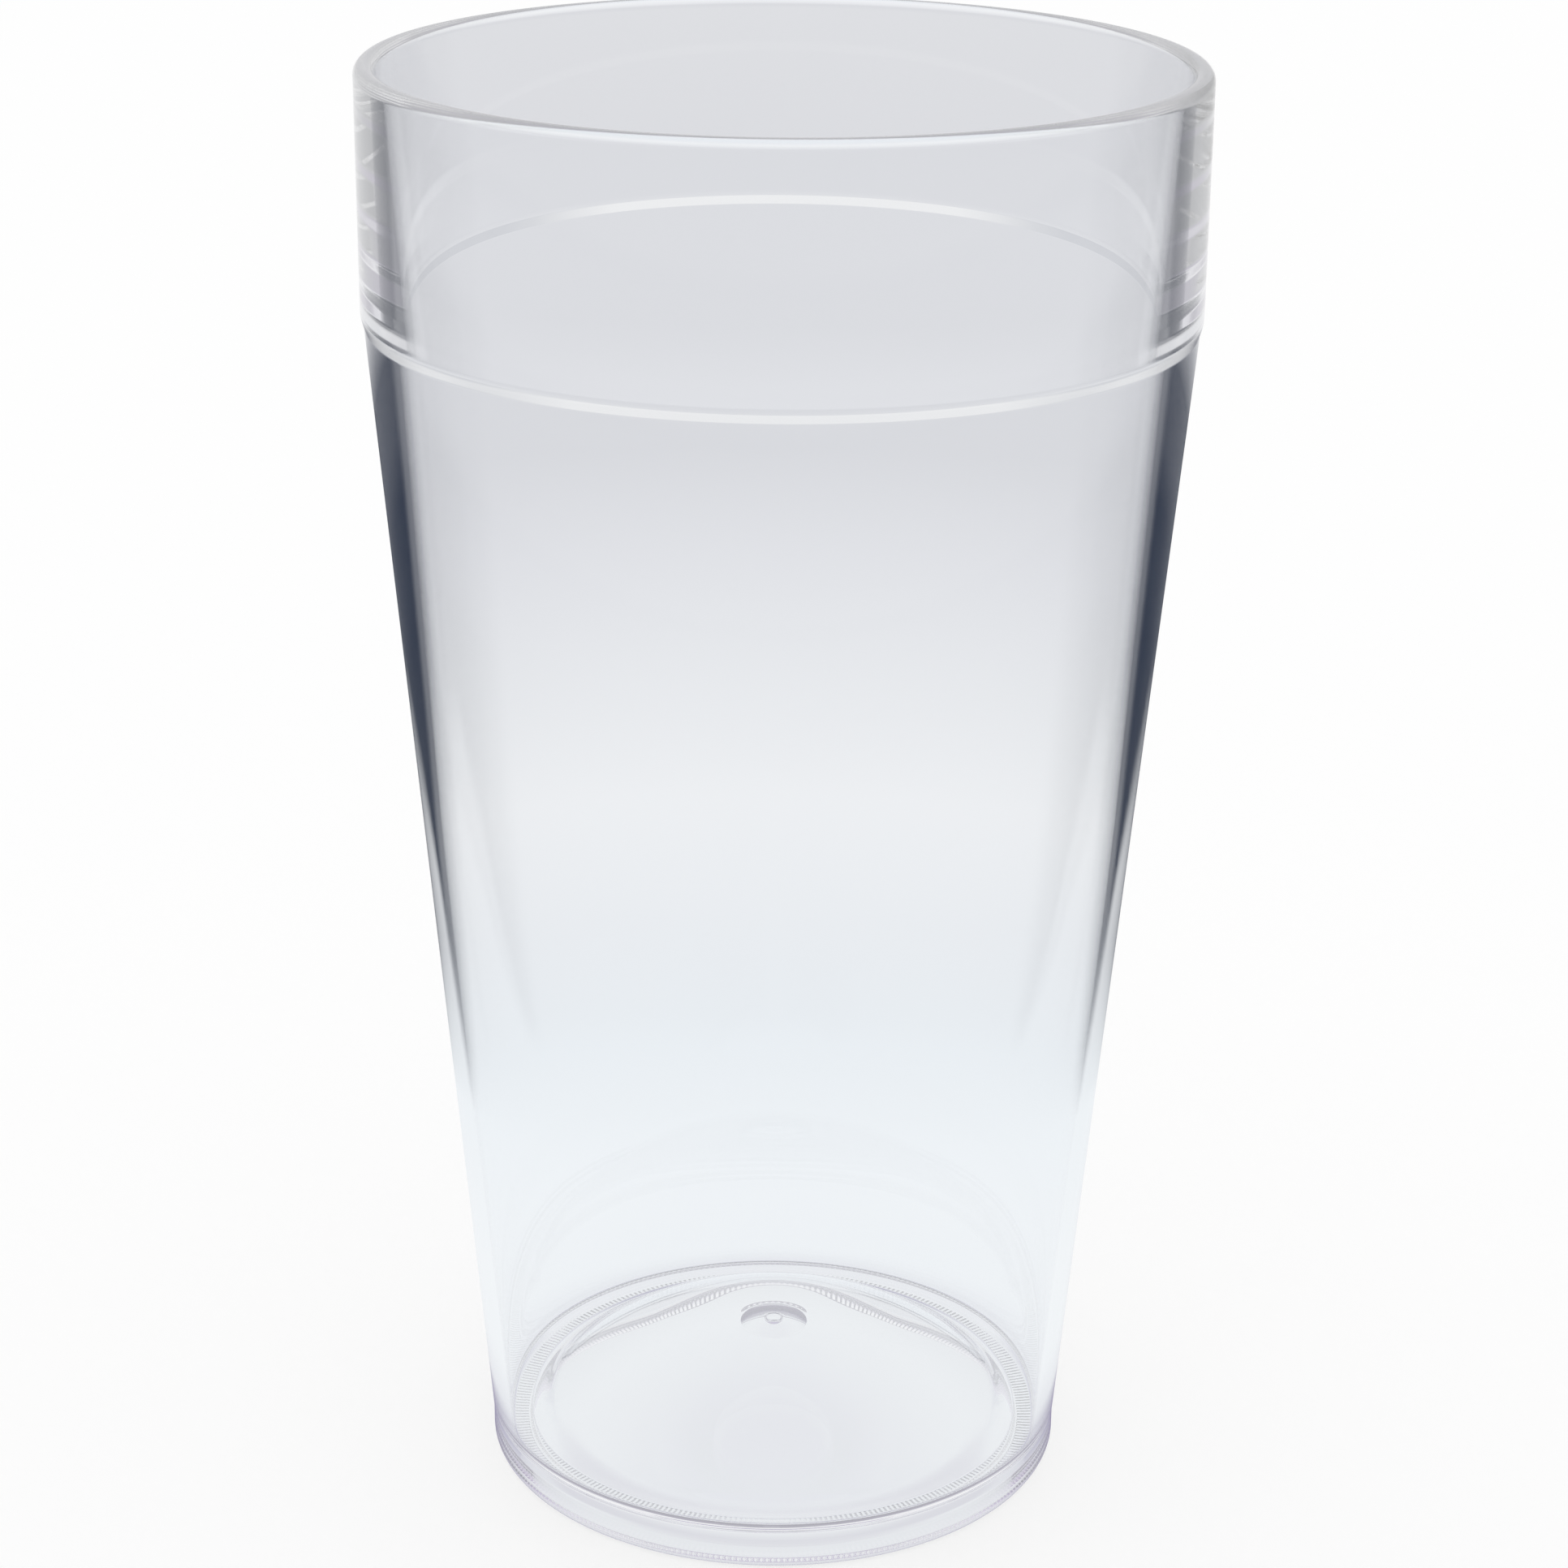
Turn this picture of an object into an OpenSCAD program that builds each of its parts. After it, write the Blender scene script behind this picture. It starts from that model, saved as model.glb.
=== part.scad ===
// Clear stacking tumbler: one moulding, drawn as the zones that make it up.
// Millimetres, +Z up, origin at the centre of the foot's bearing face.

/* [Cup] */
// Height from the table to the top of the lip
cup_h = 155; // [120:1:200]
// Outside diameter of the lip and collar
rim_d = 86; // [78:0.5:100]
// Outside diameter of the foot
foot_d = 63.5; // [56:0.5:72]

/* [Walls] */
// Thickness of the lip, below its rounded top
lip_t = 2.2; // [1.6:0.1:3]
// Thickness of the tapered wall where it meets the floor, measured level
wall_t = 1.7; // [1.4:0.1:3]
// Height up to which the tapered wall is evenly thick
even_z = 40; // [20:5:55]
// Height from which the wall thickens at an even rate towards the stacking step
thicken_z = 80; // [60:5:110]
// Height of the lip, rounded top included
lip_h = 3; // [2:0.5:6]

/* [Stacking step] */
// Drop from the top of the lip to the outer shoulder
shoulder_drop = 25.1; // [16:0.1:36]
// Height of the sloping shoulder
shoulder_h = 1.2; // [0.6:0.1:3]
// How far the shoulder steps in from the collar
shoulder_in = 0.35; // [0.2:0.05:1]
// Height of the plain band kept with the shoulder, above it
band_h = 2; // [1:0.1:5]

/* [Foot] */
// Height of the foot's upright band
foot_h = 3.6; // [2.5:0.1:8]
// Width of the foot ring, from its outside to the recess
foot_w = 4.2; // [3.5:0.1:8]
// Radius of the foot's bottom corner
foot_corner = 1.3; // [0.5:0.1:2]
// Depth of the recess under the floor
recess_h = 3.3; // [1:0.1:5]

/* [Floor] */
// Thickness of the floor, measured upright
floor_t = 1.7; // [1.4:0.1:3.5]
// Radius of the fillet between the floor and the wall
floor_fillet = 0.5; // [0.3:0.1:2]
// Width of the flat ring between the recess and the dome
ring_w = 0.3; // [0.2:0.1:4]
// Rise of the floor's dome
dome_rise = 8.8; // [5:0.1:11]
// Radius of the hollow blend at the edge of the dome
dome_blend = 4; // [2:0.5:8]
// Extra thickness in the middle of the floor
boss_rise = 0.4; // [0.2:0.1:1.5]
// Diameter over which that thickness fades out
boss_d = 30; // [16:1:36]

/* [Gate mark] */
// Diameter of the dimple under the dome
gate_d = 7.2; // [4:0.2:10]
// Depth of the dimple in its middle
gate_depth = 0.9; // [0.3:0.1:1.2]
// Diameter of the nub in the dimple
nub_d = 2; // [1:0.1:3]
// Height of the nub
nub_h = 0.7; // [0.3:0.1:1.2]

/* [Hidden] */

$fn = 96;
clear_plastic = [0.90, 0.93, 0.96, 0.45];
arc_steps = 12;
// Least height of the wall's seam above the foot's band and the floor's fillet
seam_up = 0.4;

rim_r = rim_d / 2;
foot_r = foot_d / 2;
lip_round_z = cup_h - lip_t / 2;
lip_z = cup_h - lip_h;

// Heights of the stacking step, from the top down
shoulder_top = cup_h - shoulder_drop;
shoulder_foot = shoulder_top - shoulder_h;
band_top = shoulder_top + band_h;
shoulder_r = rim_r - shoulder_in;

// Heights of the base, from the table up
floor_z = recess_h + floor_t;
wall_z = max(foot_h, floor_z + floor_fillet) + seam_up;
recess_r = foot_r - foot_w;
dome_r = recess_r - ring_w;

// The outside is one cone, from the foot to the shoulder
outer_slope = (shoulder_r - foot_r) / (shoulder_foot - foot_h);
function outer_r(z) = foot_r + outer_slope * (z - foot_h);

// The inside runs alongside it from the floor, then bends along a parabola to a steeper cone that meets the lip
inner_foot_r = foot_r - wall_t;
inner_lean = atan(outer_slope);
bend_z = (even_z + thicken_z) / 2;
alongside_r = inner_foot_r + outer_slope * (lip_round_z - floor_z);
slope_loss = (alongside_r - rim_r + lip_t) / (lip_round_z - bend_z);
function bend(z) =
    z <= even_z ? 0 :
    z < thicken_z ? pow(z - even_z, 2) / (2 * (thicken_z - even_z)) :
    z - bend_z;
function inner_r(z) = inner_foot_r + outer_slope * (z - floor_z) - slope_loss * bend(z);

// The floor's fillet touches the flat ring and the leaning wall
fillet_r = inner_foot_r - floor_fillet * (1 - sin(inner_lean)) / cos(inner_lean);

// The dome's cap and its hollow blend touch each other, and the blend touches the flat ring
cap_r = (dome_r * dome_r + dome_rise * dome_rise) / (2 * dome_rise) - dome_blend;
cap_edge_r = dome_r * cap_r / (cap_r + dome_blend);
function dome_up(r) =
    r >= dome_r ? 0 :
    r > cap_edge_r ? dome_blend - sqrt(dome_blend * dome_blend - (dome_r - r) * (dome_r - r)) :
    dome_rise - cap_r + sqrt(cap_r * cap_r - r * r);

// The middle of the floor is thicker, fading out as half a cosine wave
boss_r = boss_d / 2;
function boss_up(r) = r >= boss_r ? 0 : boss_rise * (1 + cos(180 * r / boss_r)) / 2;
function floor_top(r) = floor_z + dome_up(r) + boss_up(r);
function floor_under(r) = recess_h + dome_up(r);

// The gate's dimple is part of a ball
gate_r = gate_d / 2;
nub_r = nub_d / 2;
dimple_r = (gate_r * gate_r + gate_depth * gate_depth) / (2 * gate_depth);
dimple_z = floor_under(gate_r) + gate_depth - dimple_r;
function dimple_top(r) = dimple_z + sqrt(dimple_r * dimple_r - r * r);
nub_z = dimple_top(0) - nub_h;
nub_round = 0.6 * min(nub_r, nub_h);

// Radii, or heights, from one to another in equal steps
function radii(from, to, steps) = [for (i = [0 : steps]) from + (to - from) * i / steps];

// Points of an arc, from one angle to another
function arc(centre, r, from, to) =
    [for (i = [0 : arc_steps])
        let (a = from + (to - from) * i / arc_steps)
        [centre[0] + r * cos(a), centre[1] + r * sin(a)]];

module spin(outline)
{
    color(clear_plastic) rotate_extrude() polygon(outline);
}

// Fully rounded edge that meets the mouth
module drinking_lip()
{
    spin(concat(
        [[inner_r(lip_z), lip_z], [rim_r, lip_z]],
        arc([rim_r - lip_t / 2, lip_round_z], lip_t / 2, 0, 180)));
}

// Upright band below the lip, thicker towards its foot
module collar()
{
    spin([
        [inner_r(band_top), band_top],
        [rim_r, band_top],
        [rim_r, lip_z],
        [inner_r(lip_z), lip_z]]);
}

// Outer shoulder that spaces nested cups, under a plain band
module stacking_step()
{
    spin([
        [inner_r(shoulder_foot), shoulder_foot],
        [shoulder_r, shoulder_foot],
        [rim_r, shoulder_top],
        [rim_r, band_top],
        [inner_r(band_top), band_top]]);
}

// Cone from the foot to the stacking step, thicker towards the top
module tapered_wall()
{
    spin(concat(
        [[inner_r(wall_z), wall_z], [outer_r(wall_z), wall_z]],
        [[shoulder_r, shoulder_foot], [inner_r(shoulder_foot), shoulder_foot]],
        [for (z = radii(thicken_z, even_z, arc_steps)) [inner_r(z), z]]));
}

// Ring that the cup stands on, with the floor's fillet on its inside
module foot_ring()
{
    spin(concat(
        [[recess_r, floor_z], [recess_r, 0]],
        arc([foot_r - foot_corner, foot_corner], foot_corner, 270, 360),
        [[foot_r, foot_h], [outer_r(wall_z), wall_z], [inner_r(wall_z), wall_z]],
        arc([fillet_r, floor_z + floor_fillet], floor_fillet, -inner_lean, -90)));
}

// Floor pushed up into a dome, with the gate's dimple on its underside
module domed_floor()
{
    spin(concat(
        [[recess_r, recess_h], [recess_r, floor_z]],
        [for (r = radii(dome_r, cap_edge_r, 6)) [r, floor_top(r)]],
        [for (r = radii(cap_edge_r, 0, 32)) if (r < cap_edge_r) [r, floor_top(r)]],
        [for (r = radii(0, nub_r, 3)) [r, dimple_top(r)]],
        [for (r = radii(nub_r, gate_r, 6)) if (r > nub_r) [r, dimple_top(r)]],
        [for (r = radii(gate_r, cap_edge_r, 24)) if (r > gate_r) [r, floor_under(r)]],
        [for (r = radii(cap_edge_r, dome_r, 6)) if (r > cap_edge_r) [r, floor_under(r)]]));
}

// Stub of plastic left where the mould was filled
module gate_nub()
{
    spin(concat(
        [[0, nub_z]],
        arc([nub_r - nub_round, nub_z + nub_round], nub_round, 270, 360),
        [for (r = radii(nub_r, 0, 3)) [r, dimple_top(r)]]));
}

drinking_lip();
collar();
stacking_step();
tapered_wall();
foot_ring();
domed_floor();
gate_nub();
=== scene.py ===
import math

import bpy
import numpy as np
from mathutils import Matrix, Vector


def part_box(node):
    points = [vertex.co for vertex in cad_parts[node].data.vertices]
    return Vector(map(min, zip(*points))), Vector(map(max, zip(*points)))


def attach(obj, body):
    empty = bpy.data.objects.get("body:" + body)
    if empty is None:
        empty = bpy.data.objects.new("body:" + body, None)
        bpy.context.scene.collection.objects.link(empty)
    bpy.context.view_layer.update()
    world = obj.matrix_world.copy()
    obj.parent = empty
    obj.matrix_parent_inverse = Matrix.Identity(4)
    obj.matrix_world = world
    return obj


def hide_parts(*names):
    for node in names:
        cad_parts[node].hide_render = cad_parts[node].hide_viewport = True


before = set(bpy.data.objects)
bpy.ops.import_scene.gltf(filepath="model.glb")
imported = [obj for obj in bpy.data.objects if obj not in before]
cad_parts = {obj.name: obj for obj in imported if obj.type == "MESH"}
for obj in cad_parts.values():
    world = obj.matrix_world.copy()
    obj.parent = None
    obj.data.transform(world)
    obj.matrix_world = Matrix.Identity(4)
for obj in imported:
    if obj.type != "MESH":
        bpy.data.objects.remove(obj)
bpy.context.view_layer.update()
mm = 0.001
print("frame loaded:", len(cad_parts), "zones of one moulding")

scene = bpy.context.scene
scene.view_settings.view_transform = "Standard"


# The moulding: one closed profile turned about the upright axis

moulding = {
    "rimRadius": 43.0 * mm,
    "lipWall": 2.2 * mm,          # lip below its rounded top
    "lipShare": 0.49,             # of the lip's wall in each of its two radii
    "footWall": 1.7 * mm,         # tapered wall where it meets the floor
    "evenHeight": 40.0 * mm,      # the wall is evenly thick up to here
    "thickenHeight": 80.0 * mm,   # and thickens at an even rate from here
    "shoulderHeight": 1.2 * mm,
    "shoulderIn": 0.35 * mm,
    "shoulderRound": (0.8 * mm, 2.0 * mm),   # at its foot and at its top
    "footRadius": 31.75 * mm,
    "footBand": 3.6 * mm,
    "footWidth": 4.2 * mm,
    "footCorner": 1.3 * mm,
    "floorWall": 1.7 * mm,
    "floorFillet": 0.5 * mm,
    "flatRing": 0.3 * mm,         # between the recess and the dome
    "domeRise": 8.8 * mm,
    "domeBlend": 4.0 * mm,
    "bossRise": 0.4 * mm,         # extra thickness in the middle of the floor
    "bossRadius": 15.0 * mm,
    "gateRadius": 3.6 * mm,
    "gateDepth": 0.9 * mm,
    "nubRadius": 1.0 * mm,
    "nubRound": 0.42 * mm,
    "edgeRound": 0.25 * mm,       # small radius that every mould edge has
    "crease": 0.03 * mm,          # row this close to a sharp edge, which keeps it sharp
    "support": 0.12 * mm,         # row beside each rounding, which keeps the long faces' shading true
    "turns": 600,                 # two columns for each rib of the knurl
    "knurlDepth": 0.10 * mm,
    "knurlMargin": 0.35 * mm,
}


# A line through corner points, each corner cut by an arc that touches both its sides:
# an arc of radius r at a corner of half angle h starts r / tan(h) before the corner
def roundedLine(corners, degreesPerStep=11):
    points = np.array([corner[:2] for corner in corners])
    radii = np.array([corner[2] for corner in corners])
    sides = np.diff(points, axis=0)
    lengths = np.linalg.norm(sides, axis=1)
    ways = sides / lengths[:, None]
    bends = np.arccos(np.clip((ways[:-1] * ways[1:]).sum(1), -1, 1))
    reaches = np.concatenate([[0], radii[1:-1] * np.tan(bends / 2), [0]])
    spare = lengths - reaches[:-1] - reaches[1:]
    line = [points[0]]
    for k in range(1, len(points) - 1):
        if radii[k] == 0:
            line.append(points[k])
            continue
        wayIn, wayOut = ways[k - 1], ways[k]
        sign = math.copysign(1, wayIn[0] * wayOut[1] - wayIn[1] * wayOut[0])
        start = points[k] - wayIn * reaches[k]
        centre = start + np.array([-wayIn[1], wayIn[0]]) * sign * radii[k]
        steps = max(2, math.ceil(math.degrees(bends[k - 1]) / degreesPerStep))
        turn = np.linspace(0, bends[k - 1], steps + 1) * sign
        arm = start - centre
        if spare[k - 1] > 3 * moulding["support"]:
            line.append(start - wayIn * moulding["support"])
        line.extend(np.stack([
            centre[0] + arm[0] * np.cos(turn) - arm[1] * np.sin(turn),
            centre[1] + arm[0] * np.sin(turn) + arm[1] * np.cos(turn)], 1))
        if spare[k] > 3 * moulding["support"]:
            line.append(points[k] + wayOut * (reaches[k] + moulding["support"]))
    line.append(points[-1])
    return np.array(line)


# Height of the dome above the flat ring: a ball's cap in the middle, and a hollow arc that touches it
def domeUp(radius):
    m = moulding
    outer, rise, blend = domeRadius, m["domeRise"], m["domeBlend"]
    hollow = blend - np.sqrt(np.clip(blend ** 2 - (outer - radius) ** 2, 0, None))
    cap = rise - capRadius + np.sqrt(np.clip(capRadius ** 2 - radius ** 2, 0, None))
    return np.where(radius >= outer, 0, np.where(radius > capEdge, hollow, cap))


# Extra thickness in the middle: half a cosine wave that is gone at the boss's radius
def bossUp(radius):
    part = np.clip(radius / moulding["bossRadius"], 0, 1)
    return moulding["bossRise"] * (1 + np.cos(math.pi * part)) / 2


# Under the floor, from the axis outwards: the nub, the gate's ball-shaped dimple and the dome's underside
def underLine():
    m = moulding
    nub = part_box("gate_nub")
    gateZ = recessTop + float(domeUp(np.array(m["gateRadius"])))
    ball = (m["gateRadius"] ** 2 + m["gateDepth"] ** 2) / (2 * m["gateDepth"])
    radius = np.concatenate([
        [m["nubRadius"] + m["crease"]],
        np.linspace(m["nubRadius"] + 0.3 * mm, m["gateRadius"] - 0.3 * mm, 7),
        [m["gateRadius"] - m["crease"], m["gateRadius"]]])
    dimple = np.stack([radius, gateZ + m["gateDepth"] - ball + np.sqrt(ball ** 2 - radius ** 2)], 1)
    seat = (m["nubRadius"], dimple[0, 1])
    stub = roundedLine([(0, nub[0].z, 0), (m["nubRadius"], nub[0].z, m["nubRound"]), (*seat, 0)], 15)
    side = np.array([[m["nubRadius"], seat[1] - m["crease"]], seat])
    wide = np.concatenate([
        [m["gateRadius"] + m["crease"]], np.linspace(m["gateRadius"] + 0.4 * mm, capEdge, 15),
        np.linspace(capEdge, domeRadius, 6)[1:]])
    dome = np.stack([wide, recessTop + domeUp(wide)], 1)
    return np.concatenate([stub[:-1], side, dimple, dome])


# Inside of the wall: alongside the outer cone from the floor, then along a parabola to a steeper cone
# that meets the lip
def innerRadius(height):
    m = moulding
    span = m["thickenHeight"] - m["evenHeight"]
    over = np.clip(height - m["evenHeight"], 0, None)
    bend = np.where(height < m["thickenHeight"], over ** 2 / (2 * span), over - span / 2)
    return innerFoot + outerSlope * (height - floorTop) - slopeLoss * bend


# The floor's top, from its flat ring inwards to the axis
def topLine():
    radius = np.concatenate([np.linspace(domeRadius, capEdge, 6), np.linspace(capEdge, 0, 23)[1:]])
    return np.stack([radius, floorTop + domeUp(radius) + bossUp(radius)], 1)


# The whole profile, from the axis under the floor, round the outside and the lip, to the axis above it
def mouldingProfile():
    m = moulding
    rim, foot, recess = m["rimRadius"], m["footRadius"], recessRadius
    shoulderTop = shoulderFoot + m["shoulderHeight"]
    edge, margin = m["edgeRound"], m["knurlMargin"]
    lipRound = m["lipShare"] * m["lipWall"]
    bendHeights = np.linspace(m["thickenHeight"], m["evenHeight"], 13)
    bendLine = [(radius, height, 0) for radius, height in zip(innerRadius(bendHeights), bendHeights)]
    outside = roundedLine([
        (domeRadius, recessTop, 0), (recess, recessTop, 0.6 * edge), (recess, 0, edge),
        (recess + margin, 0, 0), (recess + 1.2 * margin, 0, 0),
        (foot - m["footCorner"] - margin, 0, 0),
        (foot, 0, m["footCorner"]), (foot, m["footBand"], 2 * edge),
        (rim - m["shoulderIn"], shoulderFoot, m["shoulderRound"][0]),
        (rim, shoulderTop, m["shoulderRound"][1]),
        (rim, lipTop, lipRound), (float(innerRadius(np.array(lipTop))), lipTop, lipRound),
        *bendLine,
        (innerFoot, floorTop, m["floorFillet"]),
        (domeRadius, floorTop, 0)])
    joined = np.concatenate([underLine(), outside[1:-1], topLine()])
    apart = np.linalg.norm(np.diff(joined, axis=0), axis=1) > 1e-7
    return joined[np.concatenate([[True], apart])]


# A grid of profile points turned about the axis, with the knurl's ribs raised on every second column
def turnedMesh(name, profile, turns):
    m = moulding
    angle = np.arange(turns) * 2 * math.pi / turns
    ring = profile[1:-1]
    onFoot = (np.abs(ring[:, 1]) < 1e-7) & (ring[:, 0] > recessRadius + 1.1 * m["knurlMargin"])
    onFoot &= ring[:, 0] < m["footRadius"] - m["footCorner"] - 0.5 * m["knurlMargin"]
    lift = onFoot[:, None] * (np.arange(turns) % 2)[None, :] * m["knurlDepth"]
    x = ring[:, 0:1] * np.cos(angle)
    y = ring[:, 0:1] * np.sin(angle)
    z = ring[:, 1:2] + lift
    grid = np.stack([x, y, z], 2).reshape(-1, 3)
    points = np.concatenate([grid, [[0, 0, profile[0, 1]], [0, 0, profile[-1, 1]]]])
    rows = len(ring)
    here = np.arange(turns)
    ahead = (here + 1) % turns
    base = (np.arange(rows - 1) * turns)[:, None]
    quads = np.stack([base + here, base + ahead, base + turns + ahead, base + turns + here], 2).reshape(-1, 4)
    last = (rows - 1) * turns
    bottom = np.stack([np.full(turns, rows * turns), ahead, here], 1)
    crown = np.stack([np.full(turns, rows * turns + 1), last + here, last + ahead], 1)
    mesh = bpy.data.meshes.new(name)
    mesh.from_pydata(points.tolist(), [], quads.tolist() + bottom.tolist() + crown.tolist())
    smooth = np.ones(len(mesh.polygons), dtype=bool)
    smooth[:len(quads)] = ~np.repeat(onFoot[:-1] & onFoot[1:], turns)
    mesh.polygons.foreach_set("use_smooth", smooth)
    mesh.update()
    return mesh


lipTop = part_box("drinking_lip")[1].z
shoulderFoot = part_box("stacking_step")[0].z
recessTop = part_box("domed_floor")[0].z
floorTop = recessTop + moulding["floorWall"]
innerFoot = moulding["footRadius"] - moulding["footWall"]
shoulderRadius = moulding["rimRadius"] - moulding["shoulderIn"]
outerSlope = (shoulderRadius - moulding["footRadius"]) / (shoulderFoot - moulding["footBand"])
lipRoundZ = lipTop - moulding["lipWall"] / 2
alongside = innerFoot + outerSlope * (lipRoundZ - floorTop)
bendMiddle = (moulding["evenHeight"] + moulding["thickenHeight"]) / 2
slopeLoss = (alongside - moulding["rimRadius"] + moulding["lipWall"]) / (lipRoundZ - bendMiddle)
recessRadius = moulding["footRadius"] - moulding["footWidth"]
domeRadius = recessRadius - moulding["flatRing"]
capRadius = (domeRadius ** 2 + moulding["domeRise"] ** 2) / (2 * moulding["domeRise"]) - moulding["domeBlend"]
capEdge = domeRadius * capRadius / (capRadius + moulding["domeBlend"])

cup = bpy.data.objects.new("moulded_cup", turnedMesh("moulded_cup", mouldingProfile(), moulding["turns"]))
scene.collection.objects.link(cup)
print("moulded cup:", len(cup.data.polygons), "faces")


# Clear styrene plastic, with the faint waviness that flow in the mould leaves

clearPlastic = {
    "color": (0.985, 0.99, 0.995, 1),
    "ior": 1.57,
    "roughness": 0.0,
    "waveScale": 28.0,
    "waveStrength": 0.08,
    "waveDepth": 0.25 * mm,
}


def clearPlasticMaterial():
    material = bpy.data.materials.new("clear_plastic")
    material.use_nodes = True
    tree = material.node_tree
    shader = tree.nodes["Principled BSDF"]
    shader.inputs["Base Color"].default_value = clearPlastic["color"]
    shader.inputs["Transmission Weight"].default_value = 1
    shader.inputs["IOR"].default_value = clearPlastic["ior"]
    shader.inputs["Roughness"].default_value = clearPlastic["roughness"]
    place = tree.nodes.new("ShaderNodeTexCoord")
    waves = tree.nodes.new("ShaderNodeTexNoise")
    waves.inputs["Scale"].default_value = clearPlastic["waveScale"]
    waves.inputs["Detail"].default_value = 0
    bump = tree.nodes.new("ShaderNodeBump")
    bump.inputs["Strength"].default_value = clearPlastic["waveStrength"]
    bump.inputs["Distance"].default_value = clearPlastic["waveDepth"]
    tree.links.new(place.outputs["Object"], waves.inputs["Vector"])
    tree.links.new(waves.outputs[0], bump.inputs["Height"])
    tree.links.new(bump.outputs[0], shader.inputs["Normal"])
    return material


cup.data.materials.append(clearPlasticMaterial())
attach(cup, "root")
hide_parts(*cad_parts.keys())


# The studio: a white floor and surround. Clear plastic shows whatever stands round it, so the floor also
# carries painted light and shade that the plastic alone shows: pale greys, a painted contact shadow where the
# foot meets the floor, and dark patches of painted shade on either side of the camera's line of sight, which
# draw the edges of the wall

studio = {
    "floorRadius": 5.0,
    "floorColor": (0.97, 0.97, 0.97, 1),
    "white": 1.0,
    "plainShare": 0.75,                # of plain white in the floor that the camera sees
    "turn": 157.5,                     # which way round the cup the camera stands
    "bounces": 300,                    # light crosses a clear wall many times
    # light that was trapped in the wall shows plain greys: number of crossings, and colour
    "deep": (9, 13),
    "trapped": [
        (13, (0.45, 0.43, 0.50, 1)),
        (26, (0.39, 0.39, 0.42, 1)),
        (33, (0.47, 0.47, 0.49, 1)),
        (56, (0.47, 0.47, 0.49, 1)),
        (62, (0.36, 0.365, 0.38, 1)),
        (98, (0.36, 0.365, 0.38, 1)),
        (110, (0.74, 0.74, 0.75, 1)),
    ],
    "trappedReach": 128,
    # sine of the height above the horizon, and colour
    "sky": [
        (0.00, (0.80, 0.80, 0.81, 1)),
        (0.26, (0.86, 0.86, 0.87, 1)),
        (0.50, (1.00, 1.00, 1.00, 1)),
        (0.71, (0.95, 0.94, 0.96, 1)),
        (0.87, (0.74, 0.70, 0.79, 1)),
        (0.97, (0.48, 0.40, 0.60, 1)),
    ],
}

# Azimuths are as the camera sees them, 0 straight behind the cup; distances are from the axis, in metres
floorPaint = {
    # painted greys for what stands round, with a painted contact shadow just outside the foot, from 0.0302 to
    # 0.037
    # distance, red, green, blue
    "ground": [
        (0.0000, 0.83, 0.845, 0.86),
        (0.0302, 0.83, 0.850, 0.87),
        (0.0309, 0.28, 0.255, 0.41),
        (0.0320, 0.32, 0.300, 0.45),
        (0.0335, 0.66, 0.665, 0.73),
        (0.0370, 0.82, 0.835, 0.87),
        (0.0440, 0.89, 0.915, 0.935),
        (0.0600, 0.90, 0.925, 0.945),
        (0.1100, 0.86, 0.895, 0.925),
        (0.1600, 0.875, 0.895, 0.92),
        (0.2200, 0.915, 0.925, 0.94),
        (0.2900, 0.86, 0.87, 0.89),
        (0.3800, 0.79, 0.795, 0.825),
        (0.4700, 0.71, 0.715, 0.745),
        (0.6000, 0.715, 0.72, 0.75),
        (0.8600, 0.745, 0.75, 0.775),
        (0.9500, 0.60, 0.61, 0.65),
        (1.4000, 0.62, 0.63, 0.66),
        (2.4000, 0.80, 0.80, 0.81),
    ],
    # under the near side of the foot
    "shade": [(0.0215, 0.0), (0.0235, 0.5), (0.0250, 0.5), (0.0257, 0.0)],
    "shadeColor": (0.64, 0.63, 0.69),
    # painted paler under the far side of the foot, over the painted contact shadow there, with a thin painted
    # contact shadow just outside it
    "farEdge": [(0.0298, 0.0), (0.0302, 0.95), (0.0345, 0.95), (0.0370, 0.0)],
    "farEdgeColor": (0.84, 0.855, 0.88),
    "farContactShadow": [(0.0320, 0.0), (0.0324, 0.9), (0.0332, 0.9), (0.0336, 0.0)],
    "farContactShadowColor": (0.30, 0.275, 0.42),
    # lighter far floor straight behind the cup, and all round the rest of the room
    "beyond": [(0.90, 0.0), (0.96, 1.0)],
    "beyondSides": [(6, 1.0), (11, 0.0), (36, 0.0), (50, 1.0)],
    "beyondColor": (0.87, 0.87, 0.875),
    # dark patches of painted shade beside the line of sight, for light that was turned back inside the wall:
    # cover by azimuth and by distance
    "paintedShadeColor": (0.012, 0.022, 0.048),
    "patchSides": [(6, 0.0), (12, 0.8), (26, 1.0), (43, 1.0), (46, 0.80), (55, 0.72), (64, 0.2)],
    "patchAlong": [(0.56, 1.0), (0.64, 0.5), (0.78, 0.28), (1.0, 0.0)],
    # azimuth, and the distance at which they start there
    "patchStart": [
        (25, 0.290), (30, 0.255), (35, 0.230), (40, 0.195), (45, 0.152), (50, 0.125), (55, 0.106)],
    "patchFade": (0.95, 0.2),     # parts of that distance: where the fade starts, and its length
    # painted reflection, for what the outside mirrors: painted shade beside the line of sight, painted white
    # further away, and a painted contact shadow at the foot
    "mirrorDark": [(0.10, 0.0), (0.15, 0.85), (0.44, 0.95), (0.53, 0.0)],
    "mirrorSides": [(3, 0.0), (7, 1.0), (52, 1.0), (66, 0.3)],
    "mirrorWhite": [(0.46, 0.0), (0.56, 1.0)],
    "mirrorColor": (0.95, 0.95, 0.955),
    "mirrorContactShadow": [(0.0308, 0.0), (0.0316, 1.0), (0.0345, 0.8), (0.0380, 0.0)],
    "mirrorContactShadowColor": (0.28, 0.25, 0.40),
}


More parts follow.
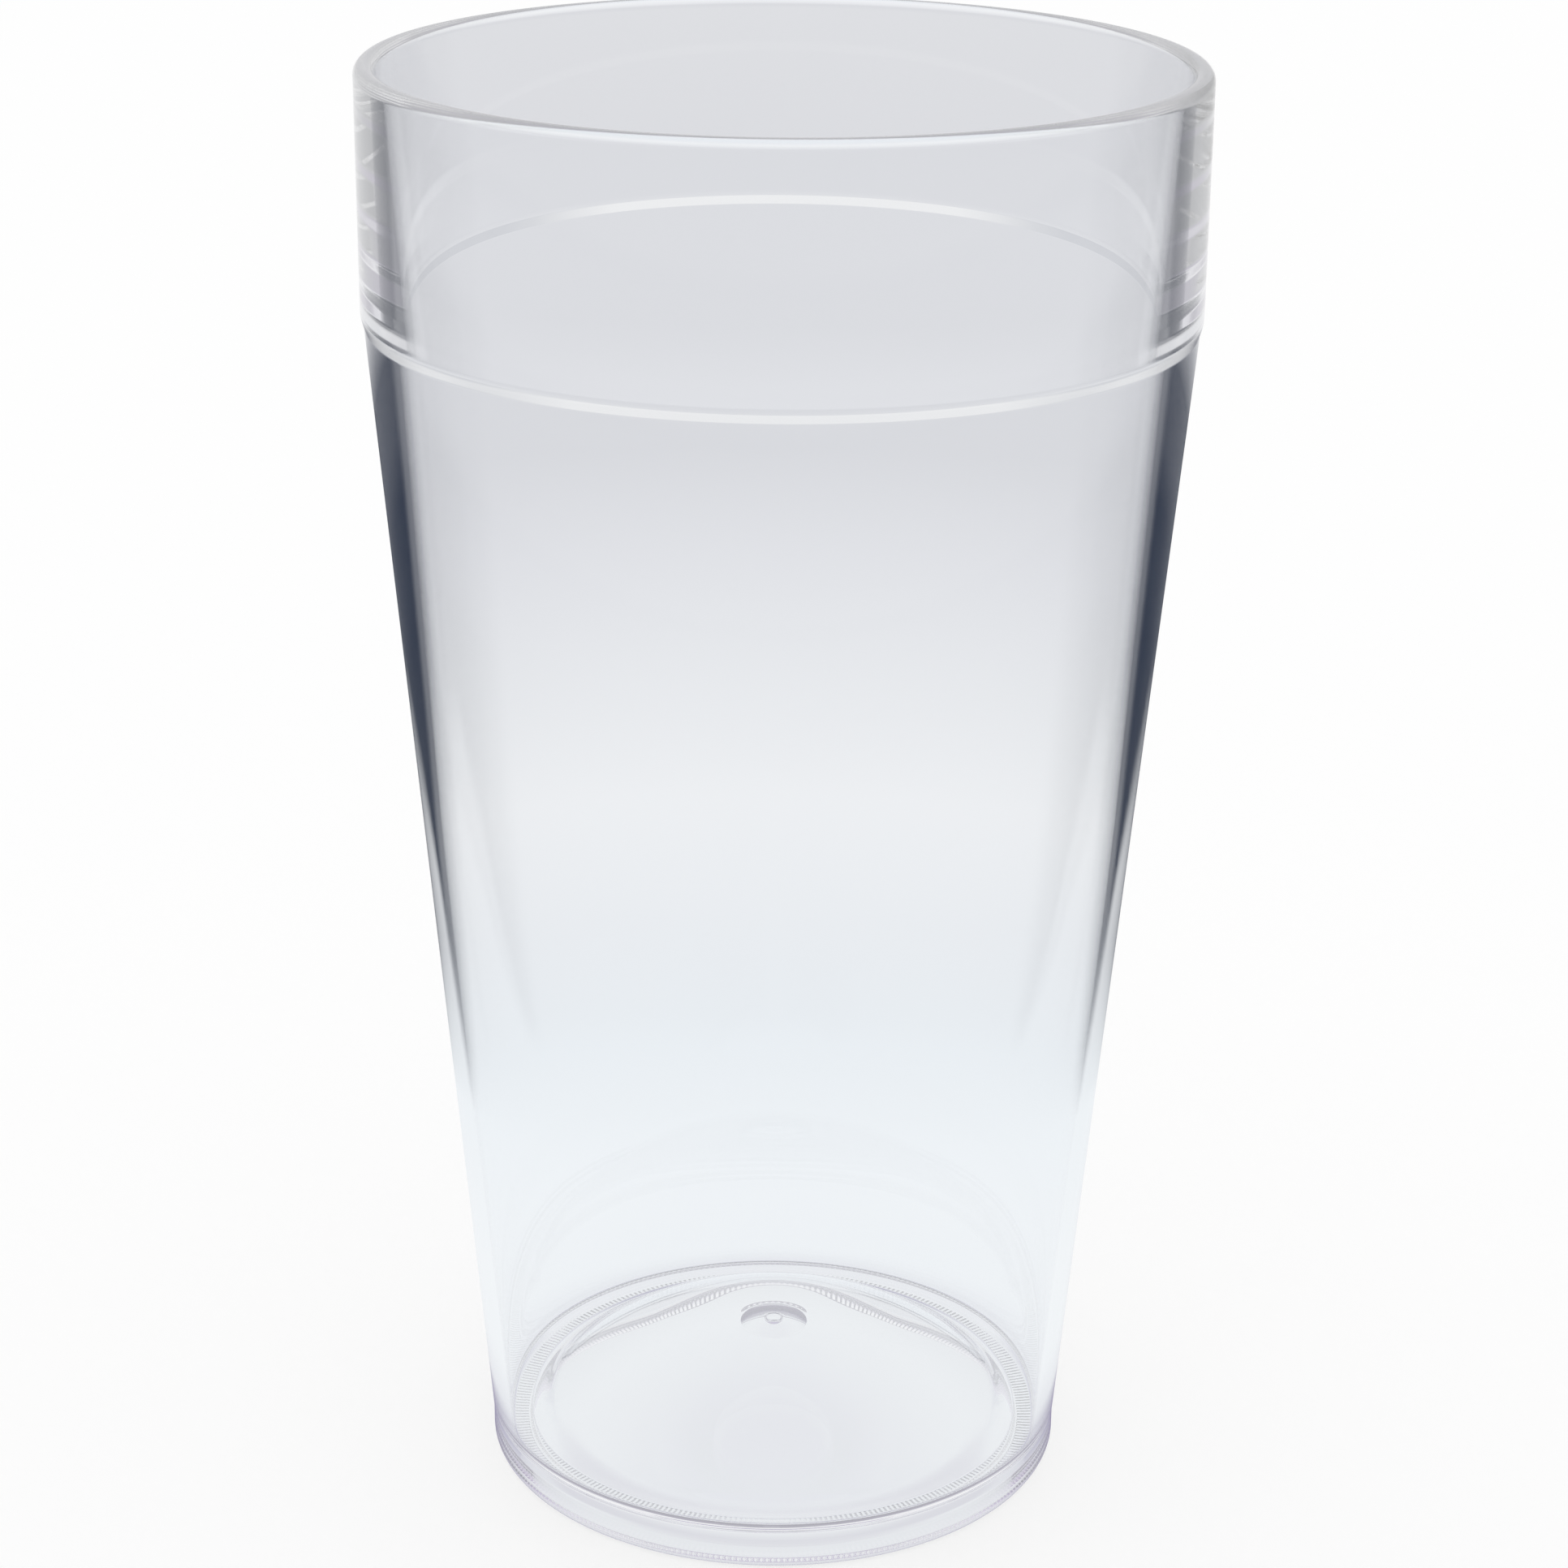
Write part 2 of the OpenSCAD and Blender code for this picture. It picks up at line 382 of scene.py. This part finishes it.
# One colour laid over paint by its cover, 0 to 1
def layOver(paint, color, cover):
    return paint + cover[..., None] * (np.array(color) - paint)


# A value read off a list of stops, with straight lines between them
def along(values, stops):
    places, levels = np.array(stops).T
    return np.interp(values, places, levels)


# The floor's painted light and shade over its polar grid: painted greys, and painted shadow and shade at the
# foot
def paintFloor(distance, azimuth):
    f = floorPaint
    ground = np.array(f["ground"])
    paint = np.stack([np.interp(distance, ground[:, 0], ground[:, k]) for k in (1, 2, 3)], -1)
    behind = 2 * np.cos(np.radians(azimuth))
    paint = layOver(paint, f["shadeColor"], along(distance, f["shade"]) * np.clip(-behind, 0, 1))
    paint = layOver(paint, f["farEdgeColor"], along(distance, f["farEdge"]) * np.clip(behind, 0, 1))
    paint = layOver(paint, f["farContactShadowColor"], along(distance, f["farContactShadow"]) * np.clip(behind, 0, 1))
    straight = along(np.abs(azimuth), f["beyondSides"])
    return layOver(paint, f["beyondColor"], along(distance, f["beyond"]) * straight)


# The paint with its dark patches of painted shade, which fade in over a part of the distance at which they
# start
def patchFloor(paint, distance, azimuth):
    f = floorPaint
    away = np.abs(azimuth)
    start = along(away, f["patchStart"])
    fadeFrom, fadeLength = f["patchFade"]
    begun = np.clip((distance / start - fadeFrom) / fadeLength, 0, 1)
    cover = along(away, f["patchSides"]) * along(distance, f["patchAlong"])
    return layOver(paint, f["paintedShadeColor"], cover * begun)


# The floor as the cup's outside mirrors it, a painted reflection: the same paint, painted whiter far away,
# with a painted contact shadow at the foot and painted shade beside the line of sight
def mirrorFloor(paint, distance, azimuth):
    f = floorPaint
    mirrored = layOver(paint, f["mirrorColor"], along(distance, f["mirrorWhite"]))
    mirrored = layOver(mirrored, f["mirrorContactShadowColor"], along(distance, f["mirrorContactShadow"]))
    beside = along(np.abs(azimuth), f["mirrorSides"])
    return layOver(mirrored, f["paintedShadeColor"], along(distance, f["mirrorDark"]) * beside)


# White for the camera and for light on the floor; what the camera sees by way of the plastic shows the glow
def shownToPlastic(tree, path, white, glow):
    either = tree.nodes.new("ShaderNodeMath")
    either.operation = "MAXIMUM"
    tree.links.new(path.outputs["Is Transmission Ray"], either.inputs[0])
    tree.links.new(path.outputs["Is Glossy Ray"], either.inputs[1])
    direct = tree.nodes.new("ShaderNodeMath")
    direct.operation = "SUBTRACT"
    direct.use_clamp = True
    tree.links.new(either.outputs[0], direct.inputs[0])
    tree.links.new(path.outputs["Diffuse Depth"], direct.inputs[1])
    mix = tree.nodes.new("ShaderNodeMixShader")
    tree.links.new(direct.outputs[0], mix.inputs["Fac"])
    tree.links.new(white, mix.inputs[1])
    tree.links.new(glow, mix.inputs[2])
    return mix.outputs[0]


# Stops set on a colour ramp, their places as parts of its reach
def fillRamp(node, stops, reach=1.0):
    ramp = node.color_ramp
    while len(ramp.elements) < len(stops):
        ramp.elements.new(0.5)
    for element, (place, color) in zip(ramp.elements, stops):
        element.position = place / reach
        element.color = color


# What is seen, and from a number of crossings on the grey of trapped light instead
def trappedMix(tree, path, seen):
    deep = tree.nodes.new("ShaderNodeMapRange")
    deep.inputs["From Min"].default_value = studio["deep"][0]
    deep.inputs["From Max"].default_value = studio["deep"][1]
    part = tree.nodes.new("ShaderNodeMath")
    part.operation = "DIVIDE"
    part.inputs[1].default_value = studio["trappedReach"]
    ramp = tree.nodes.new("ShaderNodeValToRGB")
    fillRamp(ramp, studio["trapped"], studio["trappedReach"])
    mix = tree.nodes.new("ShaderNodeMix")
    mix.data_type = "RGBA"
    tree.links.new(path.outputs["Ray Depth"], deep.inputs["Value"])
    tree.links.new(path.outputs["Ray Depth"], part.inputs[0])
    tree.links.new(part.outputs[0], ramp.inputs["Fac"])
    tree.links.new(deep.outputs[0], mix.inputs["Factor"])
    tree.links.new(seen, mix.inputs["A"])
    tree.links.new(ramp.outputs["Color"], mix.inputs["B"])
    return mix.outputs["Result"]


# One of two colours, the second where a test of the light's path gives 1
def chooseColor(tree, first, second, source, operation, limit):
    test = tree.nodes.new("ShaderNodeMath")
    test.operation = operation
    test.inputs[1].default_value = limit
    mix = tree.nodes.new("ShaderNodeMix")
    mix.data_type = "RGBA"
    tree.links.new(source, test.inputs[0])
    tree.links.new(test.outputs[0], mix.inputs["Factor"])
    tree.links.new(first, mix.inputs["A"])
    tree.links.new(second, mix.inputs["B"])
    return mix.outputs["Result"]


def floorLayer(tree, layer):
    attribute = tree.nodes.new("ShaderNodeAttribute")
    attribute.attribute_name = layer
    return attribute.outputs["Color"]


# The floor's plain paint for light that went straight through the plastic, the patched paint for light that
# was turned back inside it, and the mirrored paint for light that met the cup only once
def floorColors(tree, path):
    paint, patched, mirrored = [floorLayer(tree, layer) for layer in ("paint", "patched", "mirrored")]
    through = chooseColor(tree, paint, patched, path.outputs["Glossy Depth"], "GREATER_THAN", 0.5)
    return chooseColor(tree, through, mirrored, path.outputs["Ray Depth"], "LESS_THAN", 1.5)


# Lit white, with a share of plain white in what the camera sees
def floorWhite(tree, path):
    lit = tree.nodes.new("ShaderNodeBsdfDiffuse")
    lit.inputs["Color"].default_value = studio["floorColor"]
    plain = tree.nodes.new("ShaderNodeEmission")
    share = tree.nodes.new("ShaderNodeMath")
    share.operation = "MULTIPLY"
    share.inputs[1].default_value = studio["plainShare"]
    mix = tree.nodes.new("ShaderNodeMixShader")
    tree.links.new(path.outputs["Is Camera Ray"], share.inputs[0])
    tree.links.new(share.outputs[0], mix.inputs["Fac"])
    tree.links.new(lit.outputs[0], mix.inputs[1])
    tree.links.new(plain.outputs[0], mix.inputs[2])
    return mix.outputs[0]


# A polar grid, finest under the foot, with its paint in colour attributes
def floorMesh():
    underCup = np.linspace(0.4, 50, 125) * mm
    distance = np.concatenate([underCup, np.geomspace(51 * mm, studio["floorRadius"], 110)])
    azimuth = np.arange(-180, 180, 2.0)
    rows, columns = len(distance), len(azimuth)
    turned = np.radians(azimuth - studio["turn"])
    points = np.stack([
        distance[:, None] * np.sin(turned), distance[:, None] * np.cos(turned), np.zeros((rows, columns))], 2)
    here = np.arange(columns)
    ahead = (here + 1) % columns
    base = (np.arange(rows - 1) * columns)[:, None]
    quads = np.stack([base + here, base + columns + here, base + columns + ahead, base + ahead], 2)
    faces = [here[::-1].tolist()] + quads.reshape(-1, 4).tolist()
    mesh = bpy.data.meshes.new("floor")
    mesh.from_pydata(points.reshape(-1, 3).tolist(), [], faces)
    places = np.broadcast_arrays(distance[:, None], azimuth)
    paint = paintFloor(*places)
    layers = {
        "paint": paint,
        "patched": patchFloor(paint, *places),
        "mirrored": mirrorFloor(paint, *places)}
    for layer, colors in layers.items():
        opaque = np.concatenate([colors, np.ones((rows, columns, 1))], 2)
        mesh.attributes.new(layer, "FLOAT_COLOR", "POINT").data.foreach_set("color", opaque.reshape(-1))
    return mesh


def makeFloor():
    floor = bpy.data.objects.new("floor", floorMesh())
    scene.collection.objects.link(floor)
    material = bpy.data.materials.new("floor_white")
    material.use_nodes = True
    material.cycles.emission_sampling = "NONE"
    tree = material.node_tree
    tree.nodes.remove(tree.nodes["Principled BSDF"])
    path = tree.nodes.new("ShaderNodeLightPath")
    glow = tree.nodes.new("ShaderNodeEmission")
    tree.links.new(trappedMix(tree, path, floorColors(tree, path)), glow.inputs["Color"])
    surface = shownToPlastic(tree, path, floorWhite(tree, path), glow.outputs[0])
    tree.links.new(surface, tree.nodes["Material Output"].inputs["Surface"])
    floor.data.materials.append(material)


# The world is plain white, and the plastic shows a sky that is graded by height
def makeSurround():
    world = bpy.data.worlds.new("studio")
    scene.world = world
    world.use_nodes = True
    tree = world.node_tree
    white = tree.nodes["Background"]
    white.inputs["Color"].default_value = (1, 1, 1, 1)
    white.inputs["Strength"].default_value = studio["white"]
    path = tree.nodes.new("ShaderNodeLightPath")
    place = tree.nodes.new("ShaderNodeTexCoord")
    split = tree.nodes.new("ShaderNodeSeparateXYZ")
    sky = tree.nodes.new("ShaderNodeValToRGB")
    fillRamp(sky, studio["sky"])
    glow = tree.nodes.new("ShaderNodeBackground")
    tree.links.new(place.outputs["Generated"], split.inputs[0])
    tree.links.new(split.outputs["Z"], sky.inputs["Fac"])
    tree.links.new(trappedMix(tree, path, sky.outputs["Color"]), glow.inputs["Color"])
    surface = shownToPlastic(tree, path, white.outputs[0], glow.outputs[0])
    tree.links.new(surface, tree.nodes["World Output"].inputs["Surface"])


makeFloor()
makeSurround()
scene.cycles.max_bounces = studio["bounces"]
scene.cycles.transmission_bounces = studio["bounces"]
scene.cycles.glossy_bounces = studio["bounces"]
print("studio ready")


# The camera, fitted to the photo's outline and circles

view = {
    "place": (0.61 * mm, -374.64 * mm, 217.39 * mm),     # before it is turned round the cup
    "pitch": 20.4605,
    "roll": 0.5133,
    "lens": 85.568,
}


def makeCamera():
    data = bpy.data.cameras.new("camera")
    data.lens = view["lens"]
    data.sensor_width = 36
    camera = bpy.data.objects.new("camera", data)
    scene.collection.objects.link(camera)
    pitch, roll = math.radians(view["pitch"]), math.radians(view["roll"])
    right = np.array([1.0, 0, 0])
    up = np.array([0, math.sin(pitch), math.cos(pitch)])
    back = np.array([0, -math.cos(pitch), math.sin(pitch)])
    stand = np.eye(4)
    stand[:3, 0] = math.cos(roll) * right + math.sin(roll) * up
    stand[:3, 1] = math.cos(roll) * up - math.sin(roll) * right
    stand[:3, 2] = back
    stand[:3, 3] = view["place"]
    camera.matrix_world = Matrix.Rotation(math.radians(studio["turn"]), 4, "Z") @ Matrix(stand.tolist())
    scene.camera = camera


makeCamera()
